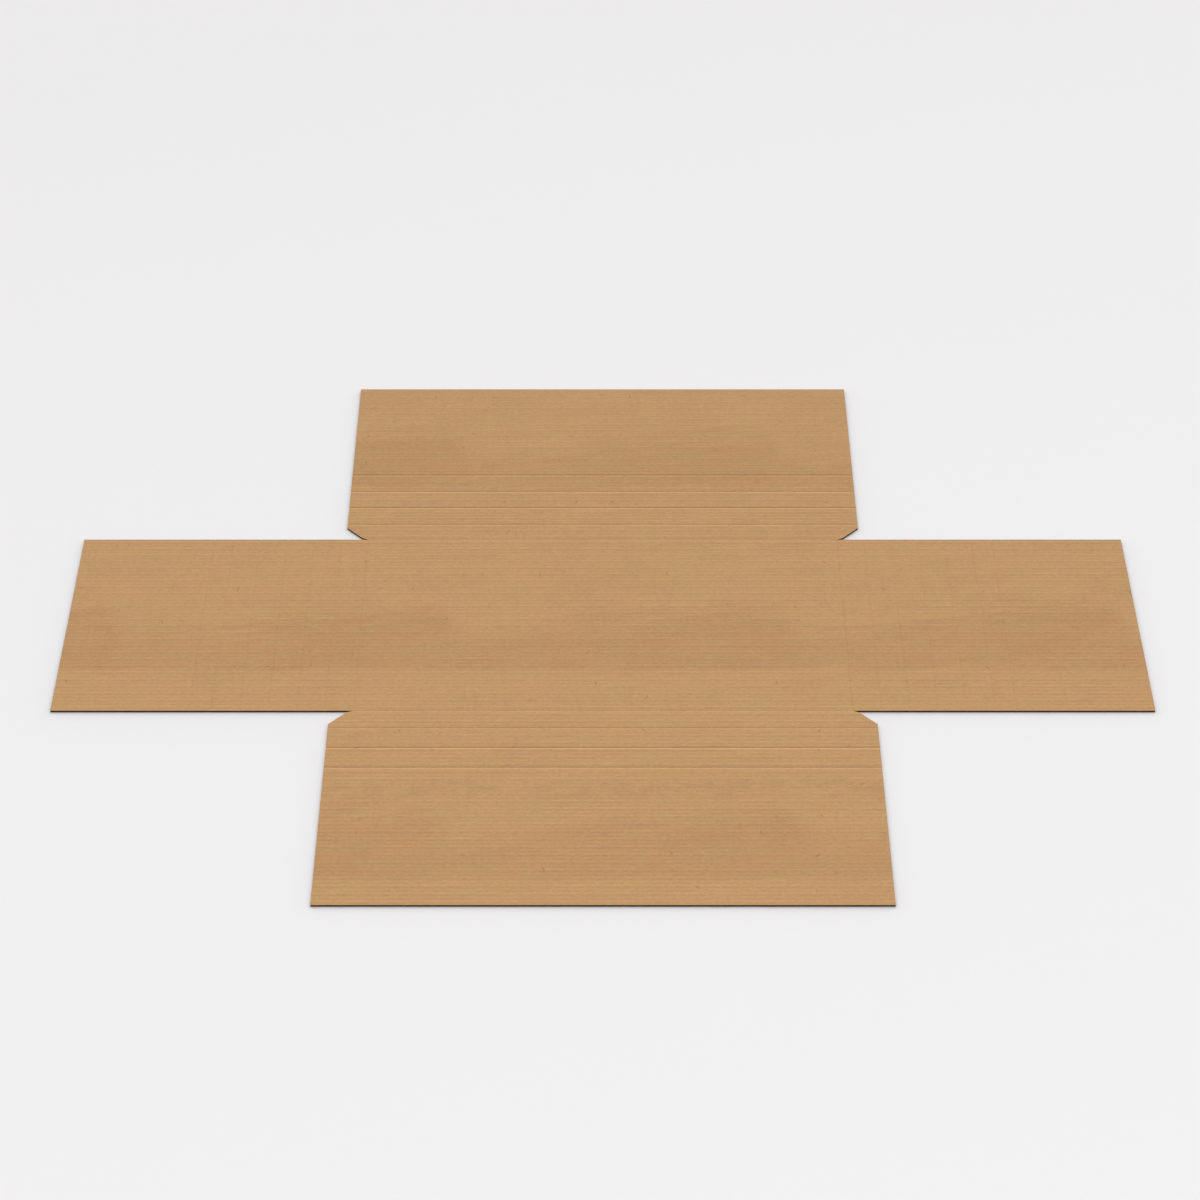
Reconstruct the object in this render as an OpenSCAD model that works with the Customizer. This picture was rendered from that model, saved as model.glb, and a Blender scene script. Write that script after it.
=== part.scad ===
// Flattened wrap mailer: one die-cut sheet of fluted board that lies flat with its
// creased face up. The flutes run along X, and the origin is under the middle panel.

/* [Middle panel] */
// Width between the two side folds
panel_w = 350; // [240:5:480]
// Depth between the front and back folds
panel_d = 190; // [150:5:280]

/* [Flaps] */
// Length of each side flap, from its fold
side_len = 212; // [150:1:300]
// Length of the front and back flaps, from their folds
end_len = 189; // [110:1:280]
// Reach of the front and back flaps past each side fold
end_over = 16.5; // [10:0.5:30]

/* [Corner notches] */
// Run of the shallow lead-in at each end of a fold
lead_run = 4.5; // [2:0.5:8]
// Drop of that lead-in, before the notch turns to 45 degrees
lead_drop = 1.8; // [0.6:0.2:4]

/* [Board] */
// Thickness of the whole board
board_t = 1.5; // [1.3:0.1:3]
// Thickness of each flat facing
liner_t = 0.25; // [0.2:0.05:0.35]
// Thickness of the fluted sheet between them, measured upright
medium_t = 0.25; // [0.15:0.05:0.3]
// Number of flutes across the depth of the middle panel
flute_count = 52; // [40:1:60]

/* [Creases] */
// From the front or back fold to the first crease
first_crease = 18; // [12:1:24]
// From each crease to the next
crease_pitch = 20; // [15:1:22]
// Creases on the back flap, beyond its fold
back_creases = 4; // [1:1:4]
// Creases on the front flap, beyond its fold
front_creases = 3; // [1:1:4]
// Evenly spaced creases on each side flap, beyond its fold
side_creases = 5; // [1:1:5]
// From the last of those to one more crease
side_last = 15; // [8:1:22]
// Width of a crease
crease_w = 2.4; // [1.6:0.2:3]
// Depth of the front and back folds
fold_z = 0.15; // [0.1:0.05:0.5]
// Depth of the creases beside those folds, along the flutes
crease_z = 0.25; // [0.2:0.05:0.6]
// Depth of the creases across the flutes, within the upper facing
cross_z = 0.15; // [0.05:0.05:0.15]

/* [Hidden] */
kraft = [0.76, 0.60, 0.42];

// Half extents of the sheet
fold_x = panel_w / 2;
fold_y = panel_d / 2;
side_x = fold_x + side_len;
flap_x = fold_x + end_over;
end_y = fold_y + end_len;
chamfer = end_over - lead_run;

// The wave of the fluted sheet, whose crests sink a little into the facings
pitch = panel_d / flute_count;
bond = 0.06;
core_t = board_t - 2 * liner_t;
wave = (core_t - medium_t) / 2 + bond;
reach = acos(bond / wave - 1);
wave_steps = 6;

// Where the creases lie, as distances from the middle of the sheet
flap_ys = concat(
    [for (i = [0:back_creases - 1]) fold_y + first_crease + i * crease_pitch],
    [for (i = [0:front_creases - 1]) -fold_y - first_crease - i * crease_pitch]);
side_xs = [for (i = [0:side_creases]) fold_x + i * crease_pitch];
last_x = fold_x + side_creases * crease_pitch + side_last;
// The front and back folds run a little way into the notches
fold_run = panel_w + lead_run;
groove_steps = 8;
slack = 0.5;

// One corner of the outline, from the side flap's tip round to the end flap's tip
corner = [
    [side_x, fold_y],
    [fold_x, fold_y],
    [fold_x + lead_run, fold_y + lead_drop],
    [flap_x, fold_y + lead_drop + chamfer],
    [flap_x, end_y]];

function turned(points, sx, sy) = [for (p = points) [sx * p[0], sy * p[1]]];
function reversed(points) = [for (i = [len(points) - 1:-1:0]) points[i]];

module outline() {
    polygon(concat(
        corner,
        reversed(turned(corner, -1, 1)),
        turned(corner, -1, -1),
        reversed(turned(corner, 1, -1))));
}

// One tunnel in section: a hump on the lower facing, or hanging from the upper one
function tunnel(y, hangs) = [
    for (i = [0:wave_steps])
        let (u = reach * (2 * i / wave_steps - 1),
             z = board_t / 2 + wave * cos(u) - medium_t / 2)
        [y + pitch * u / 360, hangs ? board_t - z : z]];

// Flutes are crushed shut under a crease that runs along them
function crushed(y) =
    len([for (c = flap_ys) if (abs(y - c) < crease_w / 2 + pitch * reach / 360) c]) > 0;

module section() {
    rows = ceil((end_y + fold_y) / pitch);
    difference() {
        translate([-end_y, 0]) square([2 * end_y, board_t]);
        for (i = [-rows:rows], hangs = [false, true]) {
            y = fold_y + (i + (hangs ? 0.5 : 0)) * pitch;
            if (abs(y) < end_y + pitch / 3 && !crushed(y)) polygon(tunnel(y, hangs));
        }
    }
}

module sheet() {
    intersection() {
        union() {
            rotate([90, 0, 90]) linear_extrude(2 * side_x, center = true) section();
            // The front and back folds are pressed solid
            for (s = [-1, 1])
                translate([-fold_run / 2, s * fold_y - crease_w / 2, 0])
                    cube([fold_run, crease_w, board_t]);
        }
        linear_extrude(board_t) outline();
    }
}

// A rounded groove of the given length along X, sunk into the upper face
module groove(length, depth) {
    rotate([90, 0, 90]) linear_extrude(length, center = true)
        polygon(concat(
            [[crease_w / 2, board_t + slack], [-crease_w / 2, board_t + slack]],
            [for (i = [0:groove_steps])
                let (u = 2 * i / groove_steps - 1)
                [u * crease_w / 2, board_t - depth * (1 + cos(180 * u)) / 2]]));
}

module creases() {
    for (s = [-1, 1]) {
        translate([0, s * fold_y, 0]) groove(fold_run, fold_z);
        for (x = concat(side_xs, last_x))
            translate([s * x, 0, 0]) rotate([0, 0, 90]) groove(panel_d + 2 * slack, cross_z);
    }
    for (y = flap_ys) translate([0, y, 0]) groove(2 * flap_x + 2 * slack, crease_z);
}

module box_blank() {
    color(kraft) difference() {
        sheet();
        creases();
    }
}

box_blank();
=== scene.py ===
import math

import bmesh
import bpy
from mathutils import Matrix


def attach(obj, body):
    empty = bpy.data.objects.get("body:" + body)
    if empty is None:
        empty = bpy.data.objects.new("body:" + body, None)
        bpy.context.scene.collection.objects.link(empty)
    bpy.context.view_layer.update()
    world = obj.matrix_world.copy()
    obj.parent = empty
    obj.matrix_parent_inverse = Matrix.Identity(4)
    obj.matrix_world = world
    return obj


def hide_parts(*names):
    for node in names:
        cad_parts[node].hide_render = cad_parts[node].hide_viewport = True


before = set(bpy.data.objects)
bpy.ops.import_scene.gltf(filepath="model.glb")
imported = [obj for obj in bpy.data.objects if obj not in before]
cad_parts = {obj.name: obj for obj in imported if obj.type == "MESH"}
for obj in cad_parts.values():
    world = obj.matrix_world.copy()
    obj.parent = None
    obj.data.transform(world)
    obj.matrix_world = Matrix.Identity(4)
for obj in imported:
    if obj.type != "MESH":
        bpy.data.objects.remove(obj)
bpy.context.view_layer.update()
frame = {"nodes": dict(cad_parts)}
scene = bpy.context.scene
scene.view_settings.view_transform = "Standard"
mm = 0.001
print("frame:", ", ".join(frame["nodes"]))


# camera, at the height and lens of the picture
shot = {
    "place": (-1.95, -1711.5, 1468.8),  # mm
    "tilt": 49.804,  # degrees up from straight down
    "lens": 93.47,
    "sensor": 36,
    "sight": 100,  # metres
}


def setCamera():
    view = bpy.data.cameras.new("shotCamera")
    view.lens = shot["lens"]
    view.sensor_width = shot["sensor"]
    view.clip_end = shot["sight"]
    holder = bpy.data.objects.new("shotCamera", view)
    holder.location = [part * mm for part in shot["place"]]
    holder.rotation_euler = (math.radians(shot["tilt"]), 0, 0)
    scene.collection.objects.link(holder)
    scene.camera = holder


# soft light: a broad lamp behind the sheet, and pale walls that glow most near the floor and to the back
studio = {
    "lampHeight": 61,  # degrees above the floor
    "lampSpread": 100,  # degrees across
    "lampStrength": 1.09,
    "wallStrength": 0.606,
    "wallHeight": 0.052,
    "frontShare": 0.08,
    "frontFade": (-0.9, 0.3),  # from the front round to the sides
    "backdrop": 0.85,
}


def setLight():
    lamp = bpy.data.lights.new("backLamp", "SUN")
    lamp.energy = studio["lampStrength"]
    lamp.angle = math.radians(studio["lampSpread"])
    holder = bpy.data.objects.new("backLamp", lamp)
    holder.rotation_euler = (math.radians(studio["lampHeight"] - 90), 0, 0)
    scene.collection.objects.link(holder)

    world = bpy.data.worlds.new("softRoom")
    world.use_nodes = True
    tree = world.node_tree
    tree.nodes.clear()
    path = put(tree, "LightPath")
    seen = calc(tree, "MAXIMUM", path["Is Camera Ray"], path["Is Glossy Ray"])
    seen = calc(tree, "MAXIMUM", seen, path["Is Transmission Ray"])
    way = put(tree, "SeparateXYZ", {0: put(tree, "TexCoord")["Generated"]})
    height = calc(tree, "ADD", calc(tree, "MAXIMUM", way["Z"], 0), studio["wallHeight"])
    around = ramp(tree, way["Y"], *studio["frontFade"], studio["frontShare"], 1)
    soft = calc(tree, "MULTIPLY", calc(tree, "DIVIDE", around, height), studio["wallStrength"])
    strength = put(tree, "Mix", {0: seen, 2: soft, 3: studio["backdrop"]}, data_type="FLOAT")[0]
    glow = put(tree, "Background", {"Color": (1, 1, 1, 1), "Strength": strength})
    put(tree, "OutputWorld", {"Surface": glow["Background"]})
    scene.world = world


# node helpers: feeds go to sockets by name or number, settings to the node itself
def plug(tree, socket, value):
    if isinstance(value, bpy.types.NodeSocket):
        tree.links.new(value, socket)
    else:
        socket.default_value = value


def put(tree, kind, feeds=(), **settings):
    node = tree.nodes.new("ShaderNode" + kind)
    for name, value in settings.items():
        setattr(node, name, value)
    for name, value in dict(feeds).items():
        plug(tree, node.inputs[name], value)
    return node.outputs


def calc(tree, operation, *values):
    return put(tree, "Math", enumerate(values), operation=operation)[0]


def addUp(tree, *values):
    total = values[0]
    for value in values[1:]:
        total = calc(tree, "ADD", total, value)
    return total


def ramp(tree, value, low, high, start=0.0, end=1.0):
    feeds = {"Value": value, "From Min": low, "From Max": high, "To Min": start, "To Max": end}
    return put(tree, "MapRange", feeds, interpolation_type="SMOOTHSTEP")["Result"]


def scaled(tree, vector, amount):
    return put(tree, "VectorMath", {0: vector, "Scale": amount}, operation="SCALE")[0]


def turned(tree, vector, angle):
    return put(tree, "VectorRotate", {"Vector": vector, "Angle": angle}, rotation_type="Z_AXIS")[0]


def mixColour(tree, factor, first, second):
    return put(tree, "Mix", {0: factor, 6: first, 7: second}, data_type="RGBA")[2]


def cloudy(tree, place, size, detail=2.0, rough=0.5, seed=0.0):
    # noise stretched to a size in mm, which each seed starts elsewhere
    start, shrink = (seed, seed * 0.7, 0), [1 / part for part in size]
    spot = put(tree, "Mapping", {"Vector": place, "Location": start, "Scale": shrink})[0]
    feeds = {"Vector": spot, "Scale": 1, "Detail": detail, "Roughness": rough}
    return put(tree, "TexNoise", feeds)["Fac"]


def centred(tree, value, amount):
    return calc(tree, "MULTIPLY", calc(tree, "SUBTRACT", value, 0.5), amount)


def bumpy(tree, height, strength, depth):
    return put(tree, "Bump", {"Strength": strength, "Distance": depth * mm, "Height": height})[0]


def startMaterial(name):
    material = bpy.data.materials.new(name)
    material.use_nodes = True
    tree = material.node_tree
    tree.nodes.clear()
    place = scaled(tree, put(tree, "TexCoord")["Object"], 1 / mm)
    return material, tree, place


def endMaterial(tree, feeds):
    shader = put(tree, "BsdfPrincipled", feeds)
    put(tree, "OutputMaterial", {"Surface": shader[0]})


# floor, with painted light: its colour is a shade lighter towards the front right
floorSheet = {
    "size": 12000,  # mm
    "below": 0.02,
    "far": (0.845, 0.833, 0.838, 1),
    "near": (0.908, 0.896, 0.902, 1),
    "paintedLightFade": (900, -800),
    "slant": -0.35,
    "roughness": 0.9,
}


def layFloor():
    bm = bmesh.new()
    bmesh.ops.create_grid(bm, x_segments=1, y_segments=1, size=floorSheet["size"] / 2 * mm)
    bmesh.ops.translate(bm, verts=bm.verts[:], vec=(0, 0, -floorSheet["below"] * mm))
    floor = finishMesh(bm, "floorSheet")
    material, tree, place = startMaterial("paleFloor")
    axes = put(tree, "SeparateXYZ", {0: place})
    depth = calc(tree, "MULTIPLY_ADD", axes["X"], floorSheet["slant"], axes["Y"])
    start, end = floorSheet["paintedLightFade"]
    paintedLightFade = put(tree, "MapRange", {"Value": depth, "From Min": start, "From Max": end})
    # painted light: the floor colour runs from darker far to lighter near and right
    colour = mixColour(tree, paintedLightFade["Result"], floorSheet["far"], floorSheet["near"])
    endMaterial(tree, {
        "Base Color": colour, "Roughness": floorSheet["roughness"], "Specular IOR Level": 0.0})
    floor.data.materials.append(material)


def finishMesh(bm, name):
    mesh = bpy.data.meshes.new(name)
    bm.to_mesh(mesh)
    bm.free()
    piece = bpy.data.objects.new(name, mesh)
    scene.collection.objects.link(piece)
    return piece


# the die-cut sheet, in mm; the flutes run along X
blank = {
    "panel": (350, 190),  # between the folds
    "sideReach": 212,
    "endReach": 189,
    "endOver": 16.5,
    "leadIn": (4.5, 1.8),
    "board": 1.5,
    "facing": 0.25,
    "pressedFacing": 0.1,  # where a deep crease thins it
    "medium": 0.25,
    "flutes": 52,
    "washboard": 0.035,
    "flapShare": (0.9, 0.75),  # of the washboard, out on the front and back flaps
    "flapFade": 75,
    "calmBand": (-182, -166),
    "calmEdge": 4,
    "calmLoss": 0.35,  # share of the washboard lost in that band
    "creaseWidth": 2.4,
    "creaseDepth": 0.25,
    "foldDepth": 0.15,
    "crossDepth": 0.15,
    "lipHighlight": (0.75, 1.0),  # place in half creases, and strength: painted highlight on the near lip
    "wallShade": (-0.5, -0.3),  # painted shade on the far wall
    "foldShadingShare": 0.35,  # share of both at the front and back folds
    "crossShade": (-0.25, -0.5),  # painted shade in the creases across the flutes, darker at the firmer right fold
    "backCreases": (18, 38, 58, 78),
    "frontCreases": (18, 38, 58),
    "sideCreases": (0, 20, 40, 60, 80, 100, 115),
    "gridStep": 30,
    "creaseSteps": (0.3, 0.6),  # across a crease along the flutes, and across the others
    "faceSteps": 4,  # to each flute
    "waveSteps": 12,
    "sharpAngle": 40,  # degrees
}
foldX = blank["panel"][0] / 2
foldY = blank["panel"][1] / 2
sideX = foldX + blank["sideReach"]
flapX = foldX + blank["endOver"]
endY = foldY + blank["endReach"]
pitch = blank["panel"][1] / blank["flutes"]
halfCrease = blank["creaseWidth"] / 2
slack = 0.01  # spots this close are one
hair = 0.001  # and this much is rounding
steep = 0.5  # a face is upright when its normal rises by less than this


def stations(stops, step, fine=None):
    # stops with even steps between them, finer across a crease
    stops = sorted(set(stops))
    found = stops[:1]
    for low, high in zip(stops, stops[1:]):
        size = fine if fine and high - low < halfCrease + slack else step
        count = max(1, math.ceil((high - low) / size - hair))
        found += [low + (high - low) * i / count for i in range(1, count + 1)]
    return found


def acrossCreases(centres):
    return [centre + offset for centre in centres for offset in (-halfCrease, 0, halfCrease)]


def drawStrip(bm, rows, columns):
    # a line of points across the flutes, drawn out along them
    tip = bmesh.ops.create_vert(bm, co=(columns[0], rows[0], 0))["vert"]
    line = []
    for row in rows[1:]:
        grown = bmesh.ops.extrude_vert_indiv(bm, verts=tip)
        tip = grown["verts"]
        tip[0].co.y = row
        line += grown["edges"]
    for column in columns[1:]:
        grown = bmesh.ops.extrude_edge_only(bm, edges=line)["geom"]
        line = [part for part in grown if isinstance(part, bmesh.types.BMEdge)]
        for part in grown:
            if isinstance(part, bmesh.types.BMVert):
                part.co.x = column


def dieCut(panelRows, panelColumns, flapRows, flapColumns):
    # the back flap with its notches, its mirror image for the front, and the panel with the side flaps
    bm = bmesh.new()
    drawStrip(bm, flapRows, flapColumns)
    run, drop = blank["leadIn"]
    for side in (-1, 1):
        notch = [((foldX, foldY), (drop, -run)), ((foldX + run, foldY + drop), (1, -1))]
        for corner, outward in notch:
            bmesh.ops.bisect_plane(
                bm, geom=bm.verts[:] + bm.edges[:] + bm.faces[:], dist=hair, clear_outer=True,
                plane_co=(side * corner[0], corner[1], 0), plane_no=(side * outward[0], outward[1], 0))
    bmesh.ops.mirror(bm, geom=bm.verts[:] + bm.edges[:] + bm.faces[:], axis="Y", merge_dist=0)
    drawStrip(bm, panelRows, panelColumns)
    bmesh.ops.remove_doubles(bm, verts=bm.verts[:], dist=slack)
    return bm


def giveThickness(bm, underHeight, overHeight):
    under = bm.verts[:]
    grown = bmesh.ops.extrude_face_region(bm, geom=bm.faces[:])["geom"]
    over = [part for part in grown if isinstance(part, bmesh.types.BMVert)]
    for vert in under:
        vert.co.z = underHeight(vert.co.x, vert.co.y)
    for vert in over:
        vert.co.z = overHeight(vert.co.x, vert.co.y)
    bmesh.ops.recalc_face_normals(bm, faces=bm.faces[:])


def groove(distance):
    return (1 + math.cos(math.pi * distance / halfCrease)) / 2 if distance < halfCrease else 0


def fadeBetween(value, start, end):
    share = min(1, max(0, (value - start) / (end - start)))
    return share * share * (3 - 2 * share)


def alongFlutes(x, y, creaseDepth, foldDepth):
    # how strongly a spot lies in a fold or in a crease beside it
    fold = groove(abs(abs(y) - foldY)) * (1 - fadeBetween(abs(x), foldX, foldX + blank["leadIn"][0]))
    creases = blank["backCreases"] if y > 0 else blank["frontCreases"]
    crease = max(groove(abs(abs(y) - foldY - crease)) for crease in creases)
    return max(crease * creaseDepth, fold * foldDepth)


def acrossFlutes(x, y):
    if abs(y) > foldY + slack:
        return 0
    return max(groove(abs(abs(x) - foldX - crease)) for crease in blank["sideCreases"])


def pressed(x, y):
    along = alongFlutes(x, y, blank["creaseDepth"], blank["foldDepth"])
    return max(along, acrossFlutes(x, y) * blank["crossDepth"])


def paintedCreaseShading(x, y):
    # painted light and shade beside the creases: a painted highlight on the near lip, painted shade on
    # the far wall and in the creases across the flutes
    atRightFold = abs(x - foldX) < halfCrease
    total = acrossFlutes(x, y) * blank["crossShade"][atRightFold]
    for offset, strength in (blank["lipHighlight"], blank["wallShade"]):
        total += strength * alongFlutes(x, y + offset * halfCrease, 1, blank["foldShadingShare"])
    return total


def ripple(y):
    # the flutes show through the facing as a faint washboard, flattened in one worn band
    (low, high), edge = blank["calmBand"], blank["calmEdge"]
    calm = fadeBetween(y, low - edge, low + edge) * (1 - fadeBetween(y, high - edge, high + edge))
    flap = fadeBetween(abs(y), foldY, foldY + blank["flapFade"])
    onFlap = 1 - flap + flap * blank["flapShare"][y > 0]
    depth = blank["washboard"] * (1 - blank["calmLoss"] * calm) * onFlap
    return depth * (1 - math.cos(2 * math.pi * (y - foldY) / pitch)) / 2


def upperFace(x, y):
    return blank["board"] - pressed(x, y) - ripple(y)


def upperInside(x, y):
    underCrease = blank["board"] - pressed(x, y) - blank["pressedFacing"]
    return min(blank["board"] - blank["facing"], underCrease)


def waveOver(x, y):
    swing = (blank["board"] - 2 * blank["facing"] - blank["medium"]) / 2
    middle = blank["board"] / 2 + swing * math.cos(2 * math.pi * (y - foldY) / pitch)
    return min(middle + blank["medium"] / 2, upperInside(x, y))


def waveUnder(x, y):
    return max(blank["facing"], waveOver(x, y) - blank["medium"])


def makePlies():
    sideFolds = [side * (foldX + crease) for side in (-1, 1) for crease in blank["sideCreases"]]
    nearFolds = [spot for spot in acrossCreases([-foldX, foldX]) if abs(spot) <= foldX]
    endCreases = [foldY + crease for crease in blank["backCreases"]]
    panelStops = [-foldY, -foldY + halfCrease, foldY - halfCrease, foldY]
    flapStops = [foldY, foldY + halfCrease, endY] + acrossCreases(endCreases)
    panelColumns = [-sideX, -foldX, foldX, sideX]
    flapColumns = [-flapX, -foldX, foldX, flapX]
    faceStep, waveStep = pitch / blank["faceSteps"], pitch / blank["waveSteps"]
    fineRow, fineColumn = blank["creaseSteps"]

    upper = dieCut(
        stations(panelStops, faceStep, fineRow),
        stations([-sideX, sideX] + acrossCreases(sideFolds), blank["gridStep"], fineColumn),
        stations(flapStops, faceStep, fineRow),
        stations([-flapX, flapX] + nearFolds, blank["gridStep"], fineColumn))
    giveThickness(upper, upperInside, upperFace)
    fluted = dieCut(
        stations(panelStops, waveStep), panelColumns, stations(flapStops, waveStep), flapColumns)
    giveThickness(fluted, waveUnder, waveOver)
    lower = dieCut([-foldY, foldY], panelColumns, [foldY, endY], flapColumns)
    giveThickness(lower, lambda x, y: 0, lambda x, y: blank["facing"])
    return upper, fluted, lower


def makeBlank():
    whole = bmesh.new()
    for name, ply in zip(("upper", "fluted", "lower"), makePlies()):
        for face in ply.faces:
            rise = face.normal.z
            outside = name == "upper" and rise > steep or name == "lower" and rise < -steep
            face.smooth = True
            face.material_index = 0 if outside else 1
        for edge in ply.edges:
            edge.smooth = edge.calc_face_angle(0) < math.radians(blank["sharpAngle"])
        mesh = bpy.data.meshes.new(name)
        ply.to_mesh(mesh)
        ply.free()
        whole.from_mesh(mesh)
        bpy.data.meshes.remove(mesh)
    unwrap(whole)
    # painted highlight and shade at the creases, kept on each point of the mesh
    creaseShading = whole.verts.layers.float.new("paintedCreaseShading")
    for vert in whole.verts:
        vert[creaseShading] = paintedCreaseShading(vert.co.x, vert.co.y)
    bmesh.ops.scale(whole, verts=whole.verts[:], vec=(mm, mm, mm))
    print("blank:", len(whole.faces), "faces")
    return finishMesh(whole, "kraftBlank")


# where each kind of face lies on the map: corner and size of its tile
mapTiles = {
    "face": (0.01, 0.27, 0.98),
    "underside": (0.01, 0.01, 0.32),
    "inside": (0.35, 0.01, 0.30),
    "endWalls": (0.67, 0.01, 0.32),
    "sideWalls": (0.67, 0.13, 0.32),
    "wallHeight": 0.1,
}


def unwrap(bm):
    layer = bm.loops.layers.uv.new("OFBake")
    for face in bm.faces:
        upright = abs(face.normal.z) < steep
        if upright:
            tile = "sideWalls" if abs(face.normal.x) > abs(face.normal.y) else "endWalls"
        elif face.material_index == 1:
            tile = "inside"
        else:
            tile = "face" if face.normal.z > 0 else "underside"
        left, bottom, size = mapTiles[tile]
        for loop in face.loops:
            x, y, z = loop.vert.co
            along = y if tile == "sideWalls" else x
            right = (along + sideX) / (2 * sideX) * size
            up = (y + endY) / (2 * sideX) * size
            if upright:
                up = z / blank["board"] * mapTiles["wallHeight"]
            loop[layer].uv = (left + right, bottom + up)


# unbleached paper of the facings, sizes in mm; a ramp is its two ends, then its values there
kraftFacing = {
    "pale": (0.5241, 0.3013, 0.1389, 1),
    "olive": (0.5095, 0.3038, 0.1353, 1),
    "ruddy": (0.5256, 0.2892, 0.1297, 1),
    "oliveRamp": (0.42, 0.66),
    "ruddyRamp": (0.36, 0.6, 1, 0.1),
    "patches": {"size": (40, 11, 1), "detail": 4, "rough": 0.6, "seed": 6.6},
    "streaks": {"size": (60, 9, 1), "detail": 3, "rough": 0.6, "seed": 8.2},
    "streakTilt": -8,  # degrees
    "streakDepth": 0.12,
    "lineDepth": 0.018,
    "rippleShadeDepth": 0.029,
    "lineClouds": {"size": (70, 14, 1), "detail": 1, "seed": 3.1},
    "lineRamp": (0.25, 0.7, 0.4, 1.5),
    "fibres": {"size": (2.6, 0.9, 1), "detail": 3, "rough": 0.6, "seed": 5.3},
    "grainDepth": 0.45,
    "threads": {"size": (1.3, 15, 1), "seed": 9.5},
    "threadDepth": 0.06,
    "mottle": {"size": (38, 24, 1), "detail": 3, "seed": 1.7},
    "mottleDepth": 0.05,
    "blots": {"size": (11, 7, 1), "seed": 4.4},
    "blotRamp": (0.36, 0.62, 0, -0.06),
    "creaseShadingGain": 0.08,
    "paintedLightDrift": -0.00008,  # painted light: the paper is painted slowly lighter towards the front and darker towards the back
    "fleckColour": (0.24, 0.05, 0.03, 1),
    "flecks": {"cell": 17, "share": 0.28, "size": (2.2, 0.5), "bend": 0.9, "strength": 0.36},
    "specks": {"cell": 8, "share": 0.35, "size": (0.8, 0.35), "bend": 0.3, "strength": 0.15},
    "hairs": {"cell": 5, "share": 0.7, "size": (2.6, 0.12), "bend": 0.6, "strength": 0.1},
    "roughness": (0.78, 0.9),
    "specular": 0.1,
    "bump": (0.25, 0.08),  # strength and depth
}

# broad bands in that paper, which start again at each turn of a roller; its ramps are in shares of a turn
rollerBand = {
    "depth": 0.068,
    "turn": (243, 208.6),  # mm along X and Y
    "start": (-94, -55.3),
    "ragged": (20, 8),  # mm that the streaks shift it
    "raggedEdge": -0.3,
    "reachRamp": (0, 0.85, 0.22, 0.37),
    "tailRamp": (0.88, 1, 1, 0.6),
    "nearRamp": (0.0, 0.04),
    "farRamp": (-0.11, 0.06, 1, 0),
    "growRamp": (0, 0.8, 0.8, 1),
    "fadeRamp": (0.88, 1, 1, 0.8),
}

# how the single marks in the paper differ
markRange = {
    "growth": (0.65, 1.35),
    "redraw": 7,  # makes a second chance out of the first
    "strength": (0.35, 1),
    "softEdge": (0.35, 1.0),
}


def scattered(tree, place, cell, share, size, bend, strength):
    # short curved marks, one to a cell in some of the cells, each turned its own way
    flat = scaled(tree, place, 1 / cell)
    cells = put(tree, "TexVoronoi", {"Vector": flat, "Scale": 1}, voronoi_dimensions="2D")
    chance = put(tree, "SeparateColor", {0: cells["Color"]})
    away = put(tree, "VectorMath", {0: flat, 1: cells["Position"]}, operation="SUBTRACT")[0]
    angle = calc(tree, "MULTIPLY", chance["Red"], 2 * math.pi)
    away = turned(tree, scaled(tree, away, cell), angle)
    again = calc(tree, "FRACT", calc(tree, "MULTIPLY", chance["Red"], markRange["redraw"]))
    growth = ramp(tree, again, 0, 1, *markRange["growth"])
    spot = put(tree, "SeparateXYZ", {0: scaled(tree, away, calc(tree, "DIVIDE", 1, growth))})
    along = calc(tree, "DIVIDE", spot["X"], size[0])
    alongSquared = calc(tree, "MULTIPLY", along, along)
    lift = calc(tree, "MULTIPLY", alongSquared, bend)
    side = calc(tree, "DIVIDE", calc(tree, "SUBTRACT", spot["Y"], lift), size[1])
    spread = calc(tree, "ADD", alongSquared, calc(tree, "MULTIPLY", side, side))
    mark = ramp(tree, spread, *markRange["softEdge"], 1, 0)
    mark = calc(tree, "MULTIPLY", mark, ramp(tree, chance["Blue"], 0, 1, *markRange["strength"]))
    mark = calc(tree, "MULTIPLY", mark, calc(tree, "LESS_THAN", chance["Green"], share))
    return calc(tree, "MULTIPLY", mark, strength)


def calmShare(tree, y):
    # one across the worn band, nothing beyond it
    (low, high), edge = blank["calmBand"], blank["calmEdge"]
    rise = ramp(tree, y, low - edge, low + edge)
    return calc(tree, "MULTIPLY", rise, ramp(tree, y, high - edge, high + edge, 1, 0))


def fluteLinesAndRippleShade(tree, place, y, calm):
    # lines over the flutes, every second one firmer, that fade here and there; the line at every flute is
    # painted highlight and shade of the washboard ripple lit from behind
    wave = calc(tree, "SINE", calc(tree, "MULTIPLY", y, -math.pi / pitch))
    # painted highlight and shade: one line to each flute, in step with the light on the ripple
    paintedRippleShade = calc(tree, "SINE", calc(tree, "MULTIPLY", y, 2 * math.pi / pitch))
    rippleShadeShare = kraftFacing["rippleShadeDepth"] / kraftFacing["lineDepth"]
    wave = calc(tree, "ADD", wave, calc(tree, "MULTIPLY", paintedRippleShade, rippleShadeShare))

    clouds = cloudy(tree, place, **kraftFacing["lineClouds"])
    depth = calc(tree, "MULTIPLY", ramp(tree, clouds, *kraftFacing["lineRamp"]), kraftFacing["lineDepth"])
    inBand = calc(tree, "MULTIPLY_ADD", calm, -blank["calmLoss"], 1)
    flapEdge = foldY + blank["flapFade"]
    frontShare, backShare = blank["flapShare"]
    onFront = ramp(tree, y, -flapEdge, -foldY, frontShare, 1)
    onBack = ramp(tree, y, foldY, flapEdge, 1, backShare)
    for share in (inBand, onFront, onBack):
        depth = calc(tree, "MULTIPLY", depth, share)
    return calc(tree, "MULTIPLY", wave, depth)


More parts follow.
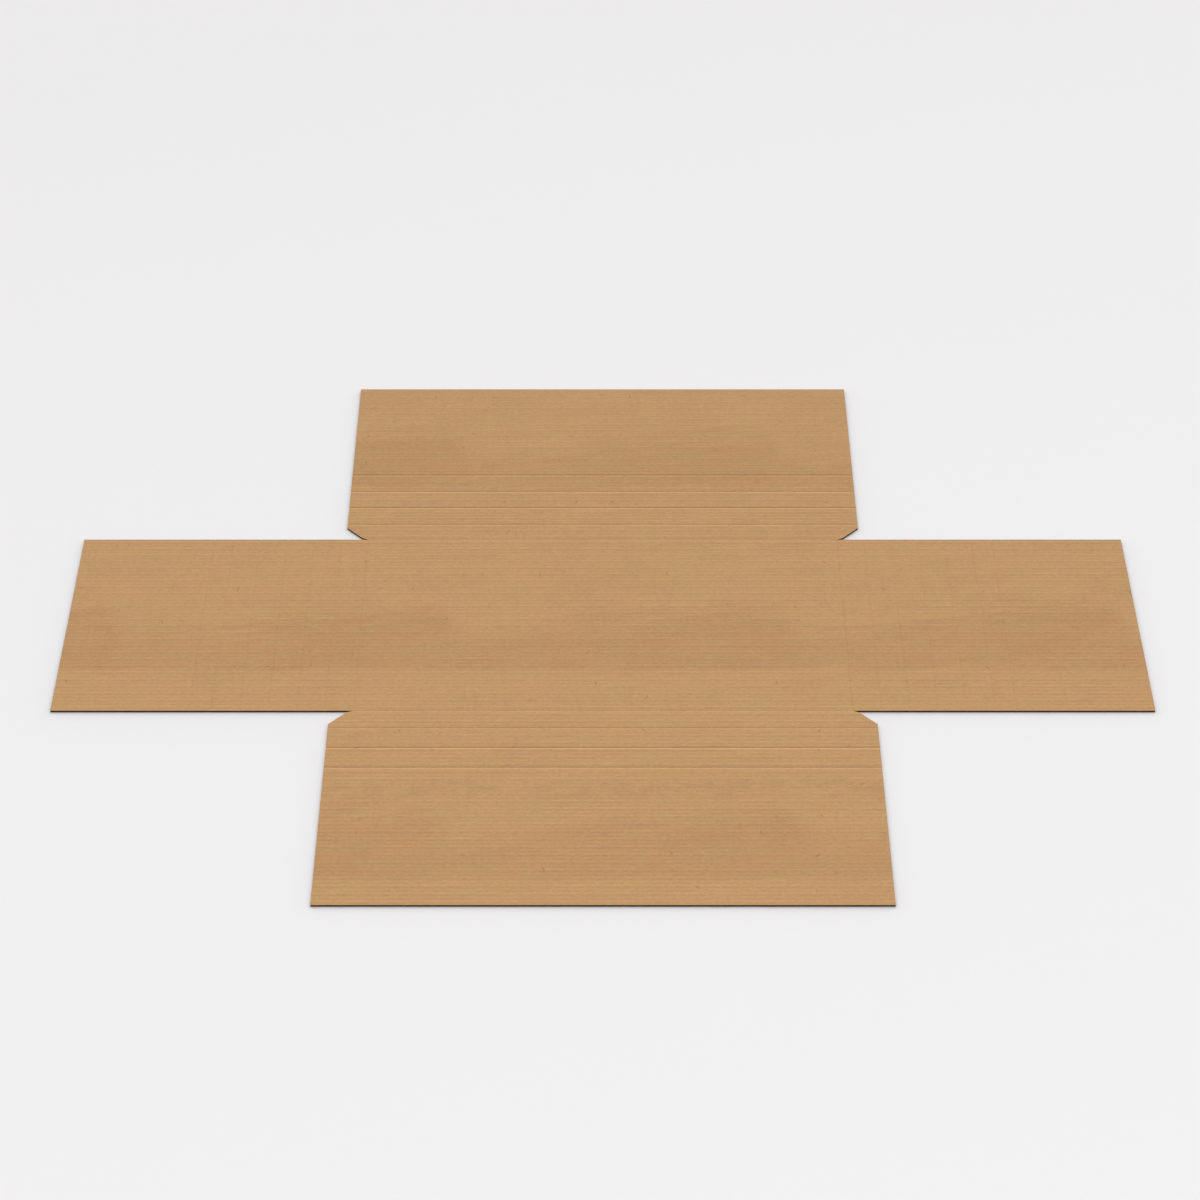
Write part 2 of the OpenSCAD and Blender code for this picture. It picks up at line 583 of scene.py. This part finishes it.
def turnShare(tree, value, axis, streaks):
    # how far round the roller a spot lies, made ragged by the streaks
    ragged = centred(tree, streaks, rollerBand["ragged"][axis])
    value = addUp(tree, value, -rollerBand["start"][axis], ragged)
    return calc(tree, "FRACT", calc(tree, "DIVIDE", value, rollerBand["turn"][axis]))


def rollerBands(tree, x, y, streaks):
    u = turnShare(tree, x, 0, streaks)
    v = turnShare(tree, y, 1, streaks)
    reach = ramp(tree, u, *rollerBand["reachRamp"])
    reach = calc(tree, "MULTIPLY", reach, ramp(tree, u, *rollerBand["tailRamp"]))
    over = calc(tree, "SUBTRACT", v, reach)
    over = calc(tree, "ADD", over, centred(tree, streaks, rollerBand["raggedEdge"]))
    band = ramp(tree, v, *rollerBand["nearRamp"])
    band = calc(tree, "MULTIPLY", band, ramp(tree, over, *rollerBand["farRamp"]))
    for name in ("growRamp", "fadeRamp"):
        band = calc(tree, "MULTIPLY", band, ramp(tree, u, *rollerBand[name]))
    return band


def kraftMaterial():
    paper = kraftFacing
    material, tree, place = startMaterial("kraftFacing")
    axes = put(tree, "SeparateXYZ", {0: place})
    x, y = axes["X"], axes["Y"]
    tilted = turned(tree, place, math.radians(paper["streakTilt"]))
    streaks = cloudy(tree, tilted, **paper["streaks"])
    patches = cloudy(tree, tilted, **paper["patches"])
    fibres = cloudy(tree, place, **paper["fibres"])
    band = rollerBands(tree, x, y, streaks)
    calm = calmShare(tree, y)

    # olive patches in the pale paper, and a ruddier tint in the bands
    colour = mixColour(tree, ramp(tree, patches, *paper["oliveRamp"]), paper["pale"], paper["olive"])
    redder = calc(tree, "MULTIPLY", band, ramp(tree, patches, *paper["ruddyRamp"]))
    colour = mixColour(tree, redder, colour, paper["ruddy"])

    # soft blotches where the flutes are pressed flatter
    blots = ramp(tree, cloudy(tree, place, **paper["blots"]), *paper["blotRamp"])
    # painted highlight and shade at the creases, read from the mesh
    creaseShading = put(tree, "Attribute", attribute_name="paintedCreaseShading")["Fac"]
    tone = addUp(
        tree, 1,
        # painted light, lighter towards the front
        calc(tree, "MULTIPLY", y, paper["paintedLightDrift"]),
        calc(tree, "MULTIPLY", band, -rollerBand["depth"]),
        centred(tree, streaks, -paper["streakDepth"]),
        fluteLinesAndRippleShade(tree, place, y, calm),
        calc(tree, "MULTIPLY", blots, calm),
        centred(tree, cloudy(tree, place, **paper["mottle"]), paper["mottleDepth"]),
        centred(tree, fibres, paper["grainDepth"]),
        centred(tree, cloudy(tree, place, **paper["threads"]), paper["threadDepth"]),
        calc(tree, "MULTIPLY", creaseShading, paper["creaseShadingGain"]))
    colour = scaled(tree, colour, tone)

    # loose hairs of fibre, specks and bark flecks
    for kind in ("hairs", "specks", "flecks"):
        colour = mixColour(tree, scattered(tree, place, **paper[kind]), colour, paper["fleckColour"])

    smooth, rough = paper["roughness"]
    roughness = put(tree, "MapRange", {"Value": fibres, "To Min": smooth, "To Max": rough})
    endMaterial(tree, {
        "Base Color": colour, "Roughness": roughness["Result"], "Specular IOR Level": paper["specular"],
        "Normal": bumpy(tree, fibres, *paper["bump"])})
    return material


# bare paper of the fluting and the cut edges, painted dark brown: the paper's own colour with painted
# shade of the flute hollows
cutPaperShaded = {
    # painted shade: much darker than the bare paper itself
    "colour": (0.125, 0.08, 0.047),
    "fibres": {"size": (1.2, 0.5, 0.3), "detail": 3, "rough": 0.6, "seed": 2.4},
    "grainDepth": 0.5,
    "roughness": 0.9,
    "specular": 0.15,
    "bump": (0.3, 0.08),
}


def cutMaterial():
    material, tree, place = startMaterial("cutPaperShaded")
    fibres = cloudy(tree, place, **cutPaperShaded["fibres"])
    tone = calc(tree, "ADD", 1, centred(tree, fibres, cutPaperShaded["grainDepth"]))
    endMaterial(tree, {
        "Base Color": scaled(tree, cutPaperShaded["colour"], tone), "Roughness": cutPaperShaded["roughness"],
        "Specular IOR Level": cutPaperShaded["specular"], "Normal": bumpy(tree, fibres, *cutPaperShaded["bump"])})
    return material


setCamera()
setLight()
layFloor()
print("camera, light and floor are set")

kraftBlank = makeBlank()
kraftBlank.data.materials.append(kraftMaterial())
kraftBlank.data.materials.append(cutMaterial())
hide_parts("box_blank")
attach(kraftBlank, "root")
print("materials are on")
